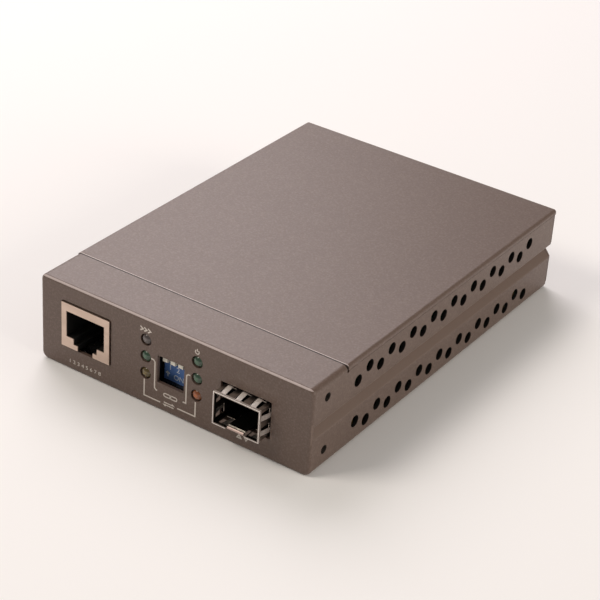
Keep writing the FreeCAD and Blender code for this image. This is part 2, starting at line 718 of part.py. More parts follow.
def dip_base():
    """Black plate in the housing's underside, which carries the terminals."""
    inner = DIP_WIDTH / 2 - DIP_SKIRT - EPS
    return box(DIP_X - inner, DIP_X + inner, DIP_FACE + DIP_SKIRT + EPS, DIP_BACK - DIP_SKIRT - EPS,
               BOARD_TOP, BOARD_TOP + DIP_BASE_HEIGHT - EPS)


def dip_axle():
    """Steel pin that all the levers rock on."""
    return rod(AXLE_R, *dip_axle_ends())


def dip_terminals():
    """Two rows of terminals under the switch."""
    return group([solder_pin(x, y, BOARD_TOP) for x in lever_places() for y in (DIP_FACE + 1.6, DIP_BACK - 1.6)])


def dip_lever(x):
    """White rocking lever: a flat key with a rounded tip on a barrel bored for the axle."""
    z0 = LEVER_Z - LEVER_THICK / 2
    z1 = LEVER_Z + LEVER_THICK / 2
    x0 = x - LEVER_WIDTH / 2
    x1 = x + LEVER_WIDTH / 2
    key = prism_x([(LEVER_TIP, z0, 0.35), (LEVER_Y, z0, 0), (LEVER_Y, z1, 0), (LEVER_TIP, z1, 0.35)], x0, x1)
    barrel = rod(LEVER_BARREL_R, (x0, LEVER_Y, LEVER_Z), (x1, LEVER_Y, LEVER_Z))
    bore = rod(AXLE_R + AXLE_PLAY, (x0 - OVER, LEVER_Y, LEVER_Z), (x1 + OVER, LEVER_Y, LEVER_Z))
    return cut(fuse([key, barrel]), [bore])


# ---- LEDs ----
def led(side, level):
    """Round LED with a domed front and a flange behind, revolved about its own axis."""
    crown_depth = LED_CROWN_R - math.sqrt(LED_CROWN_R ** 2 - LED_R ** 2)
    half_turn = math.asin(LED_R / LED_CROWN_R) / 2
    tip = Vector(0, 0, 0)
    shoulder = Vector(LED_R, crown_depth, 0)
    middle = Vector(LED_CROWN_R * math.sin(half_turn), LED_CROWN_R * (1 - math.cos(half_turn)), 0)
    outline = [shoulder, Vector(LED_R, LED_LENGTH, 0), Vector(LED_FLANGE_R, LED_LENGTH, 0),
               Vector(LED_FLANGE_R, LED_LENGTH + LED_FLANGE, 0), Vector(0, LED_LENGTH + LED_FLANGE, 0), tip]
    edges = [Part.Arc(tip, middle, shoulder).toShape()]
    edges += [Part.LineSegment(a, b).toShape() for a, b in zip(outline, outline[1:])]
    shape = Part.Face(Part.Wire(edges)).revolve(Vector(0, 0, 0), Vector(0, 1, 0), 360)
    shape.translate(Vector(side * LED_X, FRONT - LED_PROUD, LED_LOW_Z + level * LED_PITCH))
    return shape


def led_holder(side):
    """Black holder that stacks three LEDs behind the panel."""
    x = side * LED_X
    y0 = FRONT + SHEET + 0.5
    y1 = FRONT - LED_PROUD + LED_LENGTH
    top = LED_LOW_Z + 2 * LED_PITCH + 2.5
    block = box(x - 2.0, x + 2.0, y0, y1, BOARD_TOP, top)
    foot = box(x - 2.0, x + 2.0, y1, y1 + 4.5, BOARD_TOP, BOARD_TOP + 0.6)
    bores = []
    for level in range(3):
        z = LED_LOW_Z + level * LED_PITCH
        bores.append(rod(LED_R + EPS, (x, y0 - OVER, z), (x, y1 + OVER, z)))
    slots = [box(x + s - 0.4, x + s + 0.4, y1 + 1.5, y1 + 4.5 + OVER, BOARD_TOP - OVER, BOARD_TOP + OVER)
             for s in (-1.27, 1.27)]
    return cut(fuse([block, foot]), bores + slots)


def led_leads(side):
    """Leads of one stack: straight back from each LED and down to the board, the higher ones further back."""
    y_start = FRONT - LED_PROUD + LED_LENGTH + LED_FLANGE
    leads = []
    for level in range(3):
        z = LED_LOW_Z + level * LED_PITCH
        y_down = y_start + 0.9 + level * 1.2
        for s in (-1.27, 1.27):
            x = side * LED_X + s
            path = [(y_start, z), (y_down, z), (y_down, BOARD_BOTTOM - PIN_TAIL)]
            leads.append(strip_x(path, 0.4, x - 0.25, x + 0.25))
    return group(leads)


# ---- DC inlet ----
def inlet_front():
    return REAR - 0.2


def dc_inlet_housing():
    """Moulded inlet block with its round socket facing the rear."""
    y1 = inlet_front()
    y0 = y1 - INLET_DEPTH
    block = box(INLET_X - INLET_WIDTH / 2, INLET_X + INLET_WIDTH / 2, y0, y1, BOARD_TOP, BOARD_TOP + INLET_HEIGHT)
    upright = [e for e in block.Edges
               if e.BoundBox.YLength > INLET_DEPTH - 0.1 and e.BoundBox.ZMin > BOARD_TOP + 1.0]
    block = block.makeFillet(1.5, upright)
    bore = rod(INLET_BORE_R, (INLET_X, y1 - INLET_BORE_DEPTH, INLET_Z), (INLET_X, y1 + OVER, INLET_Z))
    seat = rod(INLET_PIN_R, (INLET_X, y0 - OVER, INLET_Z), (INLET_X, y1, INLET_Z))
    return cut(block, [bore, seat])


def dc_inlet_pin():
    """Centre pin of the inlet, riveted through the block's rear wall, with a chamfered tip."""
    y1 = inlet_front() - 1.0
    y0 = inlet_front() - INLET_DEPTH - 0.6
    pin = rod(INLET_PIN_R, (INLET_X, y0, INLET_Z), (INLET_X, y1, INLET_Z))
    tip = [e for e in pin.Edges if abs(e.BoundBox.YMin - y1) < 1e-6]
    return pin.makeChamfer(0.4, tip)


def dc_inlet_terminals():
    """Three solder lugs under the inlet."""
    y0 = inlet_front() - INLET_DEPTH
    places = [(INLET_X, y0 + 0.9, 2.2, 0.5), (INLET_X, y0 + 6.2, 2.2, 0.5)]
    return group([solder_pin(x, y, BOARD_TOP, wide, deep) for x, y, wide, deep in places])


# ---- what the board carries inside ----
def line_transformer():
    """Moulded transformer module between jack and converter chip."""
    body = box(JACK_X - 7.6, JACK_X + 7.6, -33.0, -23.0, BOARD_TOP + 0.3, BOARD_TOP + 6.0)
    feet = [box(JACK_X - 7.0, JACK_X + 7.0, y, y + 1.6, BOARD_TOP, BOARD_TOP + 0.3) for y in (-34.0, -23.6)]
    return fuse([body] + feet)


def converter_chip():
    """Flat square chip."""
    return box(-14.0, 2.0, -26.0, -10.0, BOARD_TOP, BOARD_TOP + 1.4)


def heat_sink():
    """Extruded aluminium heat sink stuck on the converter chip."""
    z0 = BOARD_TOP + 1.4
    plate = box(-14.5, 2.5, -26.5, -9.5, z0, z0 + 1.6)
    fins = []
    for i in range(6):
        x = -14.5 + i * 3.2
        fins.append(box(x, x + 1.0, -26.5, -9.5, z0 + 1.6, z0 + 9.0))
    return fuse([plate] + fins)


def supply_regulator():
    """Switching regulator chip near the inlet."""
    return box(12.0, 17.0, 34.0, 38.0, BOARD_TOP, BOARD_TOP + 1.7)


def power_inductor():
    """Shielded inductor: a square block with cut corners."""
    block = box(20.0, 30.0, 31.0, 41.0, BOARD_TOP, BOARD_TOP + 4.0)
    corners = [e for e in block.Edges if e.BoundBox.ZLength > 3.9]
    return block.makeChamfer(1.5, corners)


def capacitor_places():
    return [(-16.0, 42.0), (-25.0, 42.0)]


def capacitor_cans():
    """Two electrolytic cans."""
    cans = []
    for x, y in capacitor_places():
        can = rod(3.15, (x, y, BOARD_TOP + 0.9), (x, y, BOARD_TOP + 8.5))
        rim = [e for e in can.Edges if e.BoundBox.ZMin > BOARD_TOP + 8]
        cans.append(can.makeChamfer(0.5, rim))
    return group(cans)


def capacitor_bases():
    """Square plastic bases under the cans."""
    return group([box(x - 3.4, x + 3.4, y - 3.4, y + 3.4, BOARD_TOP, BOARD_TOP + 0.9) for x, y in capacitor_places()])


def timing_crystal():
    """Low oval metal can that holds the quartz crystal."""
    return prism_upright([(-24, -20), (-13.5, -20), (-13.5, -15.4), (-24, -15.4)])


def prism_upright(corners):
    """Oval can: a rectangle with round ends, standing on the board."""
    radius = abs(corners[2][1] - corners[1][1]) / 2 - 0.01
    wire = rounded_wire([(Vector(x - 6, y, BOARD_TOP), radius) for x, y in corners])
    return Part.Face(wire).extrude(Vector(0, 0, 3.5))


def settings_memory():
    """Small eight-leg memory chip."""
    return box(-2.0, 3.0, 4.0, 8.0, BOARD_TOP, BOARD_TOP + 1.6)


def main():
    os.makedirs("parts", exist_ok=True)
    sub_parts = {
        "base_tray": base_tray(),
        "top_cover": top_cover(),
        "cover_screws": cover_screws(),
        "board_standoffs": board_standoffs(),
        "board_screws": board_screws(),
        "rj45_shield": rj45_shield(),
        "rj45_housing": rj45_housing(),
        "rj45_contacts": rj45_contacts(),
        "sfp_cage": sfp_cage(),
        "sfp_ground_springs": sfp_ground_springs(),
        "sfp_connector": sfp_connector(),
        "sfp_connector_contacts": sfp_connector_contacts(),
        "dip_housing": dip_housing(),
        "dip_base": dip_base(),
        "dip_axle": dip_axle(),
        "dip_terminals": dip_terminals(),
        "dc_inlet_housing": dc_inlet_housing(),
        "dc_inlet_pin": dc_inlet_pin(),
        "dc_inlet_terminals": dc_inlet_terminals(),
        "line_transformer": line_transformer(),
        "converter_chip": converter_chip(),
        "heat_sink": heat_sink(),
        "supply_regulator": supply_regulator(),
        "power_inductor": power_inductor(),
        "capacitor_cans": capacitor_cans(),
        "capacitor_bases": capacitor_bases(),
        "timing_crystal": timing_crystal(),
        "settings_memory": settings_memory(),
    }
    for number, x in enumerate(lever_places(), 1):
        sub_parts[f"dip_lever_{number}"] = dip_lever(x)
    for side, name in ((-1, "left"), (1, "right")):
        sub_parts[f"led_holder_{name}"] = led_holder(side)
        sub_parts[f"led_leads_{name}"] = led_leads(side)
        for level in range(3):
            sub_parts[f"led_{LED_NAMES[side][level]}_{name}"] = led(side, level)
    through = ["rj45_contacts", "dip_terminals", "dc_inlet_terminals", "led_leads_left", "led_leads_right"]
    pins = [solid for name in through for solid in below_board(sub_parts[name])]
    pins += [solid for name in ("rj45_shield", "sfp_cage") for solid in below_board(sub_parts[name])]
    sub_parts["circuit_board"] = circuit_board(pins)
    for name, shape in sub_parts.items():
        save(name, shape)


def below_board(shape):
    """The stretches of a shape that pass through the board."""
    slab = box(-HALF_W, HALF_W, FRONT, REAR, BOARD_BOTTOM, BOARD_TOP)
    return slab.common(shape).Solids


main()
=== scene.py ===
import json
import math

import bpy
import numpy as np
from mathutils import Matrix, Vector


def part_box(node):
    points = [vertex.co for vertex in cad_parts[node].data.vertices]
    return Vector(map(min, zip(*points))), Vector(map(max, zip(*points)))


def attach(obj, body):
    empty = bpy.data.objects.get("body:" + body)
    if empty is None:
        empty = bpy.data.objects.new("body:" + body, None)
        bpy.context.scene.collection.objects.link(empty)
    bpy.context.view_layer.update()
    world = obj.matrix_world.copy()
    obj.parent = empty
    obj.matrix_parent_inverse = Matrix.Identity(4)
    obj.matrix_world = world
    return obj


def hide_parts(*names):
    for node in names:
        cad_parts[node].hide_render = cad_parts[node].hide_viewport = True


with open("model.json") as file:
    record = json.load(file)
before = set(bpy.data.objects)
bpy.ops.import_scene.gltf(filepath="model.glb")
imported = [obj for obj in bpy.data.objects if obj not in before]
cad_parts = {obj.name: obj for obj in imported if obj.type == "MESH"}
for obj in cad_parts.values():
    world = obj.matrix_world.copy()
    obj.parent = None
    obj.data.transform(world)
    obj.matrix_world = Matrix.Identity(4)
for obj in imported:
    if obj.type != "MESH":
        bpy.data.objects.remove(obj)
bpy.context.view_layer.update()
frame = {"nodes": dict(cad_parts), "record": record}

nodes = frame["nodes"]


# ---- Case: tray and top cover -------------------------------------------------------------------
# Two pieces folded from 1 mm steel sheet and powder coated in a satin taupe grey: the tray with its
# front panel and top lip, and the cover with the rear panel. The coat has pale specks, a painted highlight
# on two front edges, painted light in the guide groove, and painted shade on cut edges and inside.
coat_colour = (0.114, 0.075, 0.058)
coat_shade = (0.100, 0.065, 0.050)
coat_speck = (0.200, 0.145, 0.122)
# The next three colours are a painted highlight, painted light in the groove and painted shade.
coat_painted_highlight = (0.450, 0.375, 0.355)
coat_painted_light = (0.155, 0.108, 0.086)
coat_painted_shade = (0.008, 0.007, 0.006)
coat_rough = (0.36, 0.48)
coat_drift_per_metre = 45.0
coat_speck_per_metre = 1900.0
coat_grain_per_metre = 2600.0
speck_cover = 0.40  # how far a speck hides the coat's own tone
sheet = 0.001
cover_tab = 0.0053  # how far the cover's tabs reach in front of its front edge
groove_depth = 0.00205
groove_low, groove_high = 0.0098, 0.0158  # heights between which the guide groove is pressed in
fold_highlight_width = 0.0005  # width of the painted highlight along the front fold
edge_highlight_width = 0.00028  # width of the painted highlight on the cover's front edge
painted_shade_width = 0.00045  # width of the painted shade at the seam and before the rear panel
wall_skin = 0.0001  # depth at which a vent hole's wall gets painted shade, and the groove its painted light


def new_finish(name):
    """An empty node material and its Principled shader."""
    material = bpy.data.materials.new(name)
    material.use_nodes = True
    shader = material.node_tree.nodes["Principled BSDF"]
    return material, shader


def add_node(material, kind, **settings):
    """Adds a shader node and sets its properties, or its unlinked inputs, by name."""
    node = material.node_tree.nodes.new(kind)
    for key, value in settings.items():
        if hasattr(node, key):
            setattr(node, key, value)
        else:
            node.inputs[key.replace("_", " ").title()].default_value = value
    return node


def join(material, source, target):
    """Links one socket to another."""
    material.node_tree.links.new(source, target)


def own_point(material, stretch=(1, 1, 1), shift=(0, 0, 0)):
    """The surface point on the piece's own axes, stretched and then shifted."""
    place = add_node(material, "ShaderNodeTexCoord")
    mapping = add_node(material, "ShaderNodeMapping")
    mapping.inputs["Scale"].default_value = stretch
    mapping.inputs["Location"].default_value = shift
    join(material, place.outputs["Object"], mapping.inputs["Vector"])
    return mapping.outputs["Vector"]


def noise(material, per_metre, detail=2.0, stretch=(1, 1, 1)):
    """Cloudy pattern from 0 to 1, drawn out where a stretch is under 1."""
    cloud = add_node(material, "ShaderNodeTexNoise", scale=per_metre, detail=detail)
    join(material, own_point(material, stretch), cloud.inputs["Vector"])
    return cloud.outputs["Fac"]


def between(material, factor, low, high):
    """Colour that goes from low to high with a factor; each is a colour or a socket."""
    mix = add_node(material, "ShaderNodeMix", data_type="RGBA")
    join(material, factor, mix.inputs["Factor"])
    for value, name in ((low, "A"), (high, "B")):
        colour_input = next(i for i in mix.inputs if i.name == name and i.type == "RGBA")
        if isinstance(value, tuple):
            colour_input.default_value = (*value, 1)
        else:
            join(material, value, colour_input)
    return next(o for o in mix.outputs if o.type == "RGBA")


def spread(material, factor, low, high, start=0.3, end=0.7):
    """Number that goes from low to high while the factor goes from start to end."""
    mapped = add_node(material, "ShaderNodeMapRange")
    for name, value in (("From Min", start), ("From Max", end), ("To Min", low), ("To Max", high)):
        mapped.inputs[name].default_value = value
    join(material, factor, mapped.inputs["Value"])
    return mapped.outputs["Result"]


def relief(material, shader, height, strength, depth):
    """Bumps of a depth in metres from a height pattern."""
    bump = add_node(material, "ShaderNodeBump", strength=strength, distance=depth)
    join(material, height, bump.inputs["Height"])
    join(material, bump.outputs["Normal"], shader.inputs["Normal"])


def inside_box(material, low, high):
    """1 inside a box, 0 outside: the largest distance from its middle on any axis, over the half size."""
    half = [(b - a) / 2 for a, b in zip(low, high)]
    stretch = [1 / h for h in half]
    shift = [-(a + b) / 2 / h for a, b, h in zip(low, high, half)]
    reach = add_node(material, "ShaderNodeVectorMath", operation="ABSOLUTE")
    parts = add_node(material, "ShaderNodeSeparateXYZ")
    join(material, own_point(material, stretch, shift), reach.inputs[0])
    join(material, reach.outputs["Vector"], parts.inputs["Vector"])
    largest = parts.outputs["X"]
    for name in ("Y", "Z"):
        bigger = add_node(material, "ShaderNodeMath", operation="MAXIMUM")
        join(material, largest, bigger.inputs[0])
        join(material, parts.outputs[name], bigger.inputs[1])
        largest = bigger.outputs["Value"]
    return spread(material, largest, 1.0, 0.0, 0.999, 1.001)


def wear(material, *node_names):
    """Gives CAD nodes one finish in every material slot."""
    for name in node_names:
        mesh = nodes[name].data
        if not mesh.materials:
            mesh.materials.append(material)
        for i in range(len(mesh.materials)):
            mesh.materials[i] = material


def powder_coat():
    """Satin powder coat: a slow colour drift and pale specks over a fine orange peel.

    Boxes on the case's own axes then paint highlights, light and shade over its tone, each over the ones
    before it.
    """
    material, shader = new_finish("case_powder_coat")
    low, high = (Vector(c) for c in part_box("base_tray"))
    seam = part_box("top_cover")[0][1] + cover_tab
    full = (low.x, high.x)
    walls = (low.x + wall_skin, high.x - wall_skin)
    vents = (low.y + 2 * sheet, high.y - sheet / 2)
    zones = [
        # Painted highlights: lines along the front fold and the cover's front edge.
        (full, (low.y, low.y + fold_highlight_width), (high.z - fold_highlight_width, high.z + sheet), coat_painted_highlight),
        (full, (seam, seam + edge_highlight_width), (high.z - edge_highlight_width, high.z + sheet), coat_painted_highlight),
        # Painted shade: the seam's gap and the walls' rear ends.
        (full, (seam - painted_shade_width, seam), (high.z - sheet, high.z + sheet), coat_painted_shade),
        ((low.x - sheet, high.x + sheet), (high.y - painted_shade_width / 2, high.y + painted_shade_width),
         (low.z - sheet, high.z - 1.5 * sheet), coat_painted_shade),
        # Painted light in the guide groove, and painted shade on the vents' walls below and above it.
        (walls, (low.y + 2 * wall_skin, high.y), (groove_low, groove_high), coat_painted_light),
        (walls, vents, (low.z + 2 * sheet, groove_low), coat_painted_shade),
        (walls, vents, (groove_high, high.z - 2 * sheet), coat_painted_shade),
        # Painted shade over the inside of the case.
        ((low.x + groove_depth, high.x - groove_depth), (low.y + sheet, high.y - sheet / 2),
         (low.z + sheet, high.z - sheet), coat_painted_shade),
    ]
    drift = between(material, noise(material, coat_drift_per_metre, 3.0), coat_shade, coat_colour)
    specks = spread(material, noise(material, coat_speck_per_metre, 1.0), 0.0, speck_cover, 0.45, 0.75)
    colour = between(material, specks, drift, coat_speck)
    for across, along, up, tone in zones:
        colour = between(material, inside_box(material, *zip(across, along, up)), colour, tone)
    join(material, colour, shader.inputs["Base Color"])
    grain = noise(material, coat_grain_per_metre)
    join(material, spread(material, grain, *coat_rough), shader.inputs["Roughness"])
    relief(material, shader, grain, 0.25, 0.00006)
    return material


wear(powder_coat(), "base_tray", "top_cover")


# ---- Threads for the mounting brackets ----------------------------------------------------------
# Each side wall has two M3 holes near the front, extruded inwards and tapped. The thread's crests are
# turns of a helix in the hole's wall, painted dark as shade inside the hole.
thread_pitch = 0.0005
thread_root_r = 0.00127
thread_crest_r = 0.00105
thread_skin = 0.00003  # metal left behind the thread's valleys
thread_start, thread_end = 0.0001, 0.0021  # depths in the side wall
metal_dulling = 0.12  # roughness that the streaks of a rolled or drawn metal add


def plated_metal(name, colour, shade, roughness, per_metre=900.0, streak=(1, 1, 1)):
    """Metal sheet or wire: faint streaks of the rolling in its tone, gloss and relief."""
    material, shader = new_finish(name)
    streaks = noise(material, per_metre, 3.0, streak)
    join(material, between(material, streaks, shade, colour), shader.inputs["Base Color"])
    rough = spread(material, streaks, roughness + metal_dulling, roughness)
    join(material, rough, shader.inputs["Roughness"])
    relief(material, shader, streaks, 0.15, 0.00002)
    shader.inputs["Metallic"].default_value = 1.0
    return material


def new_piece(name, points, faces, material, body, slot):
    """Object at the origin from an array of points and a list of faces, with its finish and body; the slot
    is not used.
    """
    mesh = bpy.data.meshes.new(name)
    mesh.from_pydata(points.tolist(), [], faces)
    mesh.validate()
    mesh.update()
    piece = bpy.data.objects.new(name, mesh)
    bpy.context.scene.collection.objects.link(piece)
    mesh.materials.append(material)
    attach(piece, body)
    return piece


def skin(rows, around, closed):
    """Quads between rows of points that each close into a ring.

    A closed skin joins its last row to the first. An open one, of four points a row, is capped at
    both ends.
    """
    i, j = np.meshgrid(np.arange(rows if closed else rows - 1), np.arange(around), indexing="ij")
    i, j = i.ravel(), j.ravel()
    ahead = (i + 1) % rows
    turn = (j + 1) % around
    quads = np.stack([i * around + j, ahead * around + j, ahead * around + turn, i * around + turn], axis=1)
    if closed:
        return quads
    ring = np.arange(around)
    return np.vstack([quads, ring, (rows - 1) * around + ring[::-1]])


def gather(parts):
    """Points and faces of several parts as one: each part's faces count on from the points before it."""
    starts = np.cumsum([0] + [len(points) for points, _ in parts[:-1]])
    points = np.vstack([points for points, _ in parts])
    faces = np.vstack([faces + start for (_, faces), start in zip(parts, starts)])
    return points, faces.tolist()


def threaded_sleeve(axis_y, axis_z, side):
    """Tube along X: its inner radius is a triangle wave of the distance along it less the angle's turns."""
    around = 24
    steps = 33
    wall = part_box("base_tray")[1][0]
    valley = thread_root_r - thread_skin
    along = np.linspace(wall - thread_start, wall - thread_end, steps)
    angle = np.arange(around) * 2 * math.pi / around
    distance, turn = np.meshgrid(along, angle, indexing="ij")
    phase = distance / thread_pitch - turn / (2 * math.pi)
    wave = 2 * np.abs(phase - np.floor(phase + 0.5))
    radius = valley - (valley - thread_crest_r) * wave
    distance = np.vstack([distance, distance[::-1]])
    turn = np.vstack([turn, turn])
    radius = np.vstack([radius, np.full_like(radius, thread_root_r)])
    y = axis_y + radius * np.cos(turn)
    z = axis_z + radius * np.sin(turn)
    faces = skin(2 * steps, around, closed=True)
    if side > 0:
        faces = faces[:, ::-1]
    return np.stack([side * distance, y, z], axis=-1).reshape(-1, 3), faces


def bracket_threads():
    """The threads of the four bracket holes, as one piece."""
    sleeves = []
    for mount in frame["record"]["mounts"]:
        if mount["kind"] != "bolt_pattern":
            continue
        x, y, z = mount["pos_m"]
        spacing = mount["dims"]["spacing_y_mm"] / 1000
        for half in (-0.5, 0.5):
            sleeves.append(threaded_sleeve(y, z + half * spacing, math.copysign(1, x)))
    # the dark tone is painted shade inside the holes
    tapped = plated_metal("tapped_steel_in_painted_shade", (0.060, 0.052, 0.045), (0.020, 0.018, 0.016), 0.45)
    new_piece("bracket_threads", *gather(sleeves), tapped, "case", "case_paint")


bracket_threads()


# ---- Standoffs and board screws -----------------------------------------------------------------
# Four hexagonal brass standoffs pressed into the tray, and four zinc-plated screws that hold the
# board down on them.
brass = plated_metal("turned_brass", (0.72, 0.52, 0.22), (0.58, 0.40, 0.15), 0.28, streak=(1, 1, 0.05))
zinc_plate = plated_metal("zinc_plate", (0.60, 0.60, 0.62), (0.44, 0.45, 0.48), 0.30)
wear(brass, "board_standoffs")
wear(zinc_plate, "board_screws")


# ---- Circuit board ------------------------------------------------------------------------------
# Glass-fibre board under a green solder mask. Copper tracks stand a little proud under the mask and
# show lighter. Its front part, which the panel shades, is coloured near black as painted shade.
mask_green = (0.010, 0.070, 0.032)
mask_on_copper = (0.018, 0.125, 0.055)
board_painted_shade = (0.006, 0.006, 0.006)
board_shade_band = 0.018  # width of the painted shade along the board's front
track_rows_per_metre = 420.0


def board_laminate():
    """Green solder mask with straight tracks in staggered runs under it: the joints of a brick pattern."""
    material, shader = new_finish("solder_mask")
    tracks = add_node(material, "ShaderNodeTexBrick", scale=track_rows_per_metre)
    tracks.inputs["Color1"].default_value = (0, 0, 0, 1)
    tracks.inputs["Color2"].default_value = (0, 0, 0, 1)
    tracks.inputs["Mortar"].default_value = (1, 1, 1, 1)
    tracks.inputs["Mortar Size"].default_value = 0.16
    tracks.inputs["Mortar Smooth"].default_value = 0.2
    tracks.inputs["Brick Width"].default_value = 5.0
    tracks.inputs["Row Height"].default_value = 0.5
    join(material, own_point(material), tracks.inputs["Vector"])
    copper = tracks.outputs["Color"]
    low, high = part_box("circuit_board")
    front_low = (low[0] - sheet, low[1] - sheet, low[2] - sheet)
    # painted shade: the board's front strip is near black
    front = inside_box(material, front_low, (high[0], low[1] + board_shade_band, high[2] + sheet))
    green = between(material, copper, mask_green, mask_on_copper)
    join(material, between(material, front, green, board_painted_shade), shader.inputs["Base Color"])
    join(material, spread(material, noise(material, 700.0), 0.22, 0.34), shader.inputs["Roughness"])
    relief(material, shader, copper, 0.4, 0.00003)
    return material


wear(board_laminate(), "circuit_board")


# ---- Chips and power parts on the board ---------------------------------------------------------
# Epoxy-moulded transformer, converter chip, regulator and memory, an extruded heat sink, a ferrite
# inductor, two drawn aluminium capacitor cans on plastic bases and the crystal's can. The heat sink
# is glued to its chip, and the others are soldered to the board.
def moulding(name, colour, shade, roughness=0.45, grain_per_metre=3200.0, depth=0.00004):
    """Moulded plastic: a fine spark-eroded grain and a slow drift of tone."""
    material, shader = new_finish(name)
    drift = noise(material, 160.0, 2.0)
    join(material, between(material, drift, shade, colour), shader.inputs["Base Color"])
    grain = noise(material, grain_per_metre)
    join(material, spread(material, grain, roughness - 0.05, roughness + 0.08), shader.inputs["Roughness"])
    relief(material, shader, grain, 0.3, depth)
    return material


chip_epoxy = moulding("chip_epoxy", (0.028, 0.028, 0.031), (0.018, 0.018, 0.020), 0.55)
black_plastic = moulding("black_plastic", (0.014, 0.013, 0.013), (0.008, 0.008, 0.008), 0.42)
ferrite = moulding("sintered_ferrite", (0.060, 0.060, 0.064), (0.034, 0.034, 0.037), 0.7, 1500.0)
can = plated_metal("drawn_aluminium", (0.74, 0.75, 0.77), (0.60, 0.61, 0.63), 0.26, streak=(1, 1, 0.08))
fin = plated_metal("extruded_aluminium", (0.66, 0.67, 0.69), (0.50, 0.51, 0.53), 0.38, streak=(1, 0.05, 1))
wear(chip_epoxy, "line_transformer", "converter_chip", "supply_regulator", "settings_memory")
wear(fin, "heat_sink")
wear(ferrite, "power_inductor")
wear(can, "capacitor_cans", "timing_crystal")
wear(black_plastic, "capacitor_bases")


# ---- RJ45 jack ----------------------------------------------------------------------------------
# A shell stamped from tin-plated brass round a black moulding, with eight gold-plated spring wires in
# the plug's cavity. Its face stands just proud of the panel, and it is soldered to the board.
shield_tin = plated_metal("shield_tin", (0.66, 0.52, 0.43), (0.57, 0.45, 0.37), 0.40, 500.0, (0.15, 1, 1))
gold = plated_metal("contact_gold", (0.80, 0.56, 0.22), (0.66, 0.44, 0.15), 0.25, streak=(1, 0.1, 0.1))
wear(shield_tin, "rj45_shield")
wear(black_plastic, "rj45_housing")
wear(gold, "rj45_contacts")


# ---- SFP cage -----------------------------------------------------------------------------------
# A long box stamped and folded from nickel-plated steel, open in front, with a band of bright spring
# fingers round its nose that touch the panel's cut-out, and a latch tongue whose front end is curled
# down. The host connector stands in the cage's rear end.
cage_nickel = (0.42, 0.365, 0.33)
cage_nickel_shade = (0.30, 0.255, 0.225)
cage_painted_shade = (0.085, 0.078, 0.068)
cage_sheet = 0.00025
spring_sheet = 0.00015
spring_width = 0.0015
spring_band = 0.0007  # depth of the band that carries the fingers
spring_start = 0.7 * spring_band  # a finger leaves the cage inside the band
spring_crest = 0.0044  # distance of the crest behind the cage's front
spring_end = 0.0068  # where the finger comes back to the cage
spring_rise = 0.00062  # of a finger's crest off the cage
spring_sharpness = 1.3  # above 1, the crest is narrower than a sine's
spring_pitch_top = 0.0046
spring_pitch_side = 0.0045
lip_width = 0.0050
lip_radius = 0.00045
lip_rise = 0.0004  # of the lip's middle over the cage's floor
lip_gap = 4 * spring_sheet  # between the lip's ends and the band below the cage


def cage_box():
    """Corners of the cage above the board: its solder pins reach lower."""
    low, high = (Vector(c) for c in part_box("sfp_cage"))
    low.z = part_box("sfp_connector")[0][2]
    return low, high


def cage_finish():
    """Dull nickel with the rolling's streaks along the cage, and painted shade over its inside."""
    material, shader = new_finish("cage_nickel")
    low, high = cage_box()
    streaks = noise(material, 900.0, 3.0, (1, 0.06, 1))
    outer = between(material, streaks, cage_nickel_shade, cage_nickel)
    hollow_low = (low.x + cage_sheet / 2, low.y + cage_sheet, low.z + cage_sheet / 2)
    hollow_high = (high.x - cage_sheet / 2, high.y, high.z - cage_sheet / 2)
    # painted shade: the cage's inside is near black
    inner = inside_box(material, hollow_low, hollow_high)
    join(material, between(material, inner, outer, cage_painted_shade), shader.inputs["Base Color"])
    join(material, spread(material, streaks, 0.42, 0.28), shader.inputs["Roughness"])
    relief(material, shader, streaks, 0.12, 0.00002)
    shader.inputs["Metallic"].default_value = 1.0
    return material


def bent_strip(along, out, width):
    """Strip of spring sheet on a middle line of distances along and out, half the sheet to both sides."""
    line = np.stack([along, out], axis=1)
    ahead = np.gradient(line, axis=0)
    ahead /= np.linalg.norm(ahead, axis=1, keepdims=True)
    square = np.stack([-ahead[:, 1], ahead[:, 0]], axis=1) * spring_sheet / 2
    upper, lower = line + square, line - square
    corners = [(-width / 2, upper), (-width / 2, lower), (width / 2, lower), (width / 2, upper)]
    points = np.stack([np.column_stack([np.full(len(line), x), edge]) for x, edge in corners], axis=1)
    return points.reshape(-1, 3), skin(len(line), 4, closed=False)


def spring_finger():
    """One finger: a quarter sine wave up to the crest and another down behind it, both sharpened."""
    along = np.linspace(spring_start, spring_end, 41)
    up = np.clip((along - spring_start) / (spring_crest - spring_start), 0, 1)
    down = np.clip((spring_end - along) / (spring_end - spring_crest), 0, 1)
    share = np.where(along < spring_crest, up, down)
    rise = np.sin(share * math.pi / 2) ** spring_sharpness
    return bent_strip(along, spring_sheet / 2 + spring_rise * rise, spring_width)


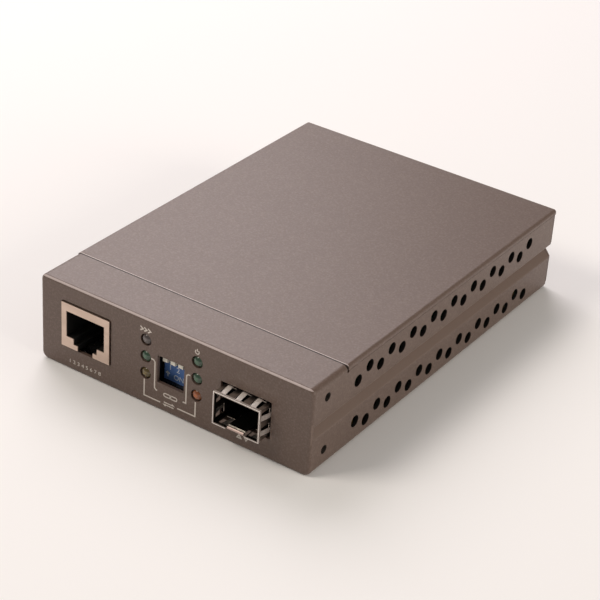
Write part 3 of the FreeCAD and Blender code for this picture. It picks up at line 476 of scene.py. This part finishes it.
def spring_collar():
    """The band round the cage's nose and its ten fingers, laid on the four faces from one strip each."""
    low, high = cage_box()
    middle = (low + high) / 2
    wide, tall = high.x - low.x, high.z - low.z
    side_band = tall + 2 * spring_sheet
    floor_band = (wide - lip_width) / 2 - lip_gap
    floor_place = (wide - floor_band) / 2
    # Each face: its directions across and out, the cage's size along out, the band's places and width,
    # and the fingers' steps and pitch.
    faces_of_cage = [
        ((1, 0, 0), (0, 0, 1), tall, [0.0], wide, (-1, 0, 1), spring_pitch_top),
        ((0, 0, -1), (1, 0, 0), wide, [0.0], side_band, (-0.5, 0.5), spring_pitch_side),
        ((0, 0, 1), (-1, 0, 0), wide, [0.0], side_band, (-0.5, 0.5), spring_pitch_side),
        ((-1, 0, 0), (0, 0, -1), tall, [-floor_place, floor_place], floor_band, (-1, 1), spring_pitch_top),
    ]
    finger, finger_quads = spring_finger()
    band_line = np.array([0.0, spring_band])
    strips = []
    for across, out, size, band_places, band_width, steps, pitch in faces_of_cage:
        axes = np.array([across, (0, 1, 0), out], dtype=float)
        origin = np.array([middle.x, low.y, middle.z]) + np.array(out) * size / 2
        band, band_quads = bent_strip(band_line, np.full(2, spring_sheet / 2), band_width)
        for place in band_places:
            strips.append((origin + (band + [place, 0, 0]) @ axes, band_quads))
        for step in steps:
            strips.append((origin + (finger + [step * pitch, 0, 0]) @ axes, finger_quads))
    collar = new_piece("spring_collar", *gather(strips), spring_nickel, "case", "spring_bronze")
    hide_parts("sfp_ground_springs")


def latch_lip():
    """The tongue's curled front end: an arc of a little over half a circle, swept across its width."""
    low, high = cage_box()
    angle = np.radians(np.linspace(250, 60, 20))
    radius = lip_radius - spring_sheet / 2
    strip, quads = bent_strip(lip_radius + radius * np.cos(angle), radius * np.sin(angle), lip_width)
    origin = np.array([(low.x + high.x) / 2, low.y, low.z + lip_rise])
    new_piece("latch_lip", origin + strip, quads.tolist(), lip_nickel, "case", "cage_steel")


along_y, along_x = (1, 0.06, 1), (0.06, 1, 1)
spring_nickel = plated_metal("spring_nickel", (0.97, 0.93, 0.89), (0.88, 0.83, 0.79), 0.30, streak=along_y)
lip_nickel = plated_metal("lip_nickel", (0.60, 0.47, 0.43), (0.50, 0.39, 0.35), 0.42, streak=along_x)
wear(cage_finish(), "sfp_cage")
spring_collar()
latch_lip()
wear(black_plastic, "sfp_connector")
wear(gold, "sfp_connector_contacts")


# ---- DIP switch ---------------------------------------------------------------------------------
# Four white rocking levers on a steel axle in a blue moulding, numbered in white, with a black base
# that carries the tinned terminals.
switch_blue = moulding("switch_blue", (0.140, 0.270, 0.620), (0.110, 0.220, 0.540), 0.38)
lever_white = moulding("lever_white", (0.93, 0.89, 0.78), (0.86, 0.82, 0.70), 0.32)
tinned_wire = plated_metal("tinned_wire", (0.68, 0.68, 0.66), (0.52, 0.52, 0.51), 0.30, streak=(1, 1, 0.1))
wear(switch_blue, "dip_housing")
wear(black_plastic, "dip_base")
wear(tinned_wire, "dip_axle", "dip_terminals")
wear(lever_white, "dip_lever_1", "dip_lever_2", "dip_lever_3", "dip_lever_4")


# ---- LEDs ---------------------------------------------------------------------------------------
# Six round 3 mm LEDs of tinted epoxy, unlit, in two black holders. The epoxy is opaque: a lighter
# spot in its middle is a painted reflection of the reflector cup, inside a ring of painted shade, and
# the lens's rim has a tone of its own.
led_r = 0.0015


def led_lens(led, painted_cup_reflection, ring, rim):
    """Glossy tinted epoxy whose colour goes from a painted reflection of the cup, to a ring of painted
    shade, to the rim, with the distance from its axis.
    """
    material, shader = new_finish(led + "_epoxy")
    low, high = (Vector(c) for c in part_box(led))
    middle = (low + high) / 2
    stretch = (1 / led_r, 0, 1 / led_r)
    shift = (-middle.x / led_r, 0, -middle.z / led_r)
    glow = add_node(material, "ShaderNodeTexGradient", gradient_type="SPHERICAL")
    join(material, own_point(material, stretch, shift), glow.inputs["Vector"])
    nearness = glow.outputs["Fac"]
    # painted reflection of the cup in the middle, painted shade in the ring round it
    inner = between(material, spread(material, nearness, 0, 1, 0.45, 0.85), ring, painted_cup_reflection)
    outer = between(material, spread(material, nearness, 1, 0, 0.08, 0.30), inner, rim)
    join(material, outer, shader.inputs["Base Color"])
    join(material, spread(material, noise(material, 1500.0), 0.10, 0.18), shader.inputs["Roughness"])
    shader.inputs["Coat Weight"].default_value = 0.6
    shader.inputs["Coat Roughness"].default_value = 0.05
    wear(material, led)


green_tints = ((0.040, 0.110, 0.055), (0.016, 0.050, 0.026), (0.050, 0.100, 0.055))
led_tints = {
    "led_clear_left": ((0.110, 0.088, 0.084), (0.060, 0.047, 0.045), (0.090, 0.070, 0.064)),
    "led_yellow_left": ((0.150, 0.100, 0.015), (0.080, 0.052, 0.010), (0.110, 0.078, 0.018)),
    "led_amber_right": ((0.400, 0.100, 0.012), (0.210, 0.052, 0.008), (0.190, 0.065, 0.014)),
    "led_green_left": green_tints,
    "led_green_right": green_tints,
    "led_power_right": green_tints,
}
for led, (painted_cup_reflection, ring, rim) in led_tints.items():
    led_lens(led, painted_cup_reflection, ring, rim)
wear(black_plastic, "led_holder_left", "led_holder_right")
wear(tinned_wire, "led_leads_left", "led_leads_right")


# ---- DC inlet -----------------------------------------------------------------------------------
# Black moulded barrel socket in the rear panel's cut-out, with a riveted nickel pin and solder lugs.
wear(black_plastic, "dc_inlet_housing")
wear(tinned_wire, "dc_inlet_pin", "dc_inlet_terminals")


# ---- Cover screws -------------------------------------------------------------------------------
# Two zinc-plated pan-head screws with a cross recess, through the rear panel into the tray's ears.
wear(zinc_plate, "cover_screws")


# ---- Printed marks ------------------------------------------------------------------------------
# White epoxy ink, screen printed on the front panel: signs over the LEDs, brackets that join the
# pairs, arrows, and plain numbers under the jack. The switch's face has its lever numbers, an arrow
# and ON. Places are in millimetres: to the right of the panel's middle, and up from its underside.
ink_thick = 0.00002
ink_sink = 0.000005  # how far the ink sits in the surface below it
line_width = 0.00038
sign_width = 0.8 * line_width
mitre_limit = 0.4  # smallest cosine of half a corner's turn, so that a sharp corner doesn't run out
panel_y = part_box("base_tray")[0][1]
ink_white = moulding("ink_white", (0.66, 0.60, 0.54), (0.52, 0.47, 0.42), 0.6, 6000.0, 0.00001)
ink_bright = moulding("ink_bright", (0.90, 0.94, 0.98), (0.80, 0.86, 0.92), 0.6, 6000.0, 0.00001)


def ink_line(path, width, y, closed):
    """Flat line: each point of the path steps half the width to both sides along its mitre."""
    path = np.asarray(path) / 1000
    ahead = np.roll(path, -1, axis=0) - path
    ahead /= np.linalg.norm(ahead, axis=1, keepdims=True)
    behind = np.roll(ahead, 1, axis=0)
    if not closed:
        ahead[-1] = ahead[-2]
        behind[0] = ahead[0]
    mitre = ahead + behind
    mitre /= np.linalg.norm(mitre, axis=1, keepdims=True)
    normal = np.stack([-mitre[:, 1], mitre[:, 0]], axis=1)
    reach = width / 2 / np.maximum(mitre_limit, np.abs(np.sum(mitre * ahead, axis=1)))
    left = path + normal * reach[:, None]
    right = path - normal * reach[:, None]
    top, base = y - ink_thick, y + ink_sink
    corners = [(left, top), (left, base), (right, base), (right, top)]
    points = np.stack([np.column_stack([p[:, 0], np.full(len(p), d), p[:, 1]]) for p, d in corners], axis=1)
    return points.reshape(-1, 3), skin(len(path), 4, closed)


def arc(centre, radius, start, end, steps=17):
    """Points on a circle in the panel's plane, from one angle to another in degrees."""
    angle = np.radians(np.linspace(start, end, steps))
    return np.column_stack([centre[0] + radius * np.cos(angle), centre[1] + radius * np.sin(angle)])


def print_lines(name, lines, y, ink):
    """One piece of ink from (path, width, closed) lines on a plane of constant y."""
    parts = [ink_line(path, width, y, closed) for path, width, closed in lines]
    new_piece(name, *gather(parts), ink, "case", "lever_white")


def print_words(name, words, height, centre, y, ink, width=None):
    """Plain figures in the built-in face, scaled to a height and a width about their middle.

    A point's depth is the ink's top or its base, by the sign of its own depth in the text.
    """
    curve = bpy.data.curves.new(name, "FONT")
    curve.body = words
    curve.extrude = 0.5
    carrier = bpy.data.objects.new(name, curve)
    bpy.context.scene.collection.objects.link(carrier)
    bpy.context.view_layer.update()
    depsgraph = bpy.context.evaluated_depsgraph_get()
    mesh = bpy.data.meshes.new_from_object(carrier.evaluated_get(depsgraph))
    bpy.data.objects.remove(carrier)
    points = np.empty(len(mesh.vertices) * 3)
    mesh.vertices.foreach_get("co", points)
    points = points.reshape(-1, 3)
    low, high = points.min(axis=0), points.max(axis=0)
    scale_z = height / (high[1] - low[1])
    scale_x = width / (high[0] - low[0]) if width else scale_z
    x = centre[0] + (points[:, 0] - (low[0] + high[0]) / 2) * scale_x
    z = centre[1] + (points[:, 1] - (low[1] + high[1]) / 2) * scale_z
    depth = np.where(points[:, 2] > 0, y - ink_thick, y + ink_sink)
    placed = np.column_stack([x / 1000, depth, z / 1000])
    new_piece(name, placed, [list(p.vertices) for p in mesh.polygons], ink, "case", "lever_white")
    bpy.data.meshes.remove(mesh)


def open_line(*path):
    """A line of the usual width that doesn't close."""
    return path, line_width, False


def link(x, z):
    """A chain link's outline: two half circles joined by straight sides."""
    outline = np.vstack([arc((x - 0.65, z), 0.5, 90, 270, 9), arc((x + 0.65, z), 0.5, -90, 90, 9)])
    return outline, sign_width, True


panel_marks = {
    # Brackets from the LEDs to the two signs below the switch.
    "bracket_marks": [
        open_line((8.15, 7.5), (8.15, 3.0), (2.4, 3.0)),
        open_line((-8.6, 7.6), (-8.6, 2.6), (-3.2, 2.6)),
        open_line((-6.5, 14.7), (-5.7, 14.7), (-5.2, 14.2), (-5.2, 6.3), (-4.7, 5.8), (-4.3, 5.8)),
        open_line((6.25, 14.8), (5.6, 14.8), (5.1, 14.3), (5.1, 5.8), (4.1, 5.8)),
    ],
    # Three chevrons over the clear LED, and the sign for power over the green one.
    "speed_mark": [open_line((x, 22.0), (x + 0.9, 22.6), (x, 23.2)) for x in (-10.2, -8.95, -7.7)],
    "power_mark": [
        (arc((8.2, 22.7), 0.6, 130, 410), sign_width, False),
        ([(8.2, 22.8), (8.2, 23.6)], sign_width, False),
    ],
    # Two chain links, and under them one arrow each way.
    "link_mark": [link(-0.95, 5.45), link(1.05, 5.45)],
    "duplex_mark": [
        open_line((-2.0, 3.15), (1.2, 3.15), (0.6, 3.5)),
        open_line((1.2, 2.45), (-2.0, 2.45), (-1.4, 2.1)),
    ],
    # One arrowhead up and one down under the cage.
    "fibre_mark": [
        ([(21.7, 2.7), (22.9, 2.7), (22.3, 3.7)], line_width, True),
        ([(23.9, 3.7), (25.1, 3.7), (24.5, 2.7)], line_width, True),
    ],
}
for name, lines in panel_marks.items():
    print_lines(name, lines, panel_y, ink_white)
print_words("jack_numbers", "1 2 3 4 5 6 7 8", 1.1, (-28.65, 2.75), panel_y, ink_white, 10.7)

switch_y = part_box("dip_housing")[0][1]
for number in "1234":
    lever_low, lever_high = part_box("dip_lever_" + number)
    middle = (lever_low[0] + lever_high[0]) / 2 * 1000
    print_words("lever_number_" + number, number, 1.6, (middle, 11.1), switch_y, ink_bright)
print_words("switch_on_mark", "ON", 1.5, (-0.7, 8.6), switch_y, ink_bright)
print_lines("switch_arrow", [
    open_line((-4.3, 8.0), (-4.3, 9.5)),
    open_line((-4.9, 8.9), (-4.3, 9.5), (-3.7, 8.9)),
], switch_y, ink_bright)


# ---- Stage --------------------------------------------------------------------------------------
# A plain pale paper floor, a soft sky and three large lamps: one high behind, one high in front and
# one beside the case. The camera looks down on the front right corner.
def studio_floor():
    """A square floor just under the case."""
    half = 3.0
    corners = [(-half, -half, 0.0), (half, -half, 0.0), (half, half, 0.0), (-half, half, 0.0)]
    mesh = bpy.data.meshes.new("studio_floor")
    mesh.from_pydata(corners, [], [(0, 1, 2, 3)])
    floor = bpy.data.objects.new("studio_floor", mesh)
    bpy.context.scene.collection.objects.link(floor)
    material, shader = new_finish("studio_paper")
    shader.inputs["Base Color"].default_value = (0.9, 0.9, 0.9, 1)
    shader.inputs["Roughness"].default_value = 0.9
    mesh.materials.append(material)
    return floor


studio_floor()


def area_lamp(name, place, size, power, colour):
    """A square lamp that faces the case."""
    lamp = bpy.data.lights.new(name, "AREA")
    lamp.size = size
    lamp.energy = power
    lamp.color = colour
    holder = bpy.data.objects.new(name, lamp)
    bpy.context.scene.collection.objects.link(holder)
    holder.location = place
    holder.rotation_euler = (-Vector(place)).to_track_quat("-Z", "Y").to_euler()


area_lamp("key_lamp", (-0.58, 0.45, 0.66), 0.7, 6.5, (1.0, 0.91, 0.92))
area_lamp("front_lamp", (-0.45, -0.50, 0.70), 0.35, 3.4, (1.0, 0.91, 0.81))
area_lamp("side_lamp", (0.80, 0.03, 0.28), 0.5, 3.3, (1.0, 0.91, 0.80))

sky = bpy.data.worlds.new("studio_sky")
bpy.context.scene.world = sky
sky.use_nodes = True
sky_light = sky.node_tree.nodes["Background"]
sky_light.inputs["Color"].default_value = (1.0, 0.97, 0.94, 1)
sky_light.inputs["Strength"].default_value = 0.30
bpy.context.scene.view_settings.view_transform = "Standard"

camera_place = Vector((0.25115, -0.39131, 0.28280))
camera_azimuth = math.radians(32.924)
camera_elevation = math.radians(30.729)
camera_roll = math.radians(3.894)
camera_lens_mm = 115.14
lens = bpy.data.cameras.new("camera")
lens.lens = camera_lens_mm
lens.sensor_width = 36.0
camera = bpy.data.objects.new("camera", lens)
bpy.context.scene.collection.objects.link(camera)
turn = Matrix.Rotation(camera_azimuth, 4, "Z") @ Matrix.Rotation(math.pi / 2 - camera_elevation, 4, "X")
turn = turn @ Matrix.Rotation(camera_roll, 4, "Z")
camera.matrix_world = Matrix.Translation(camera_place) @ turn
bpy.context.scene.camera = camera

bpy.context.view_layer.update()
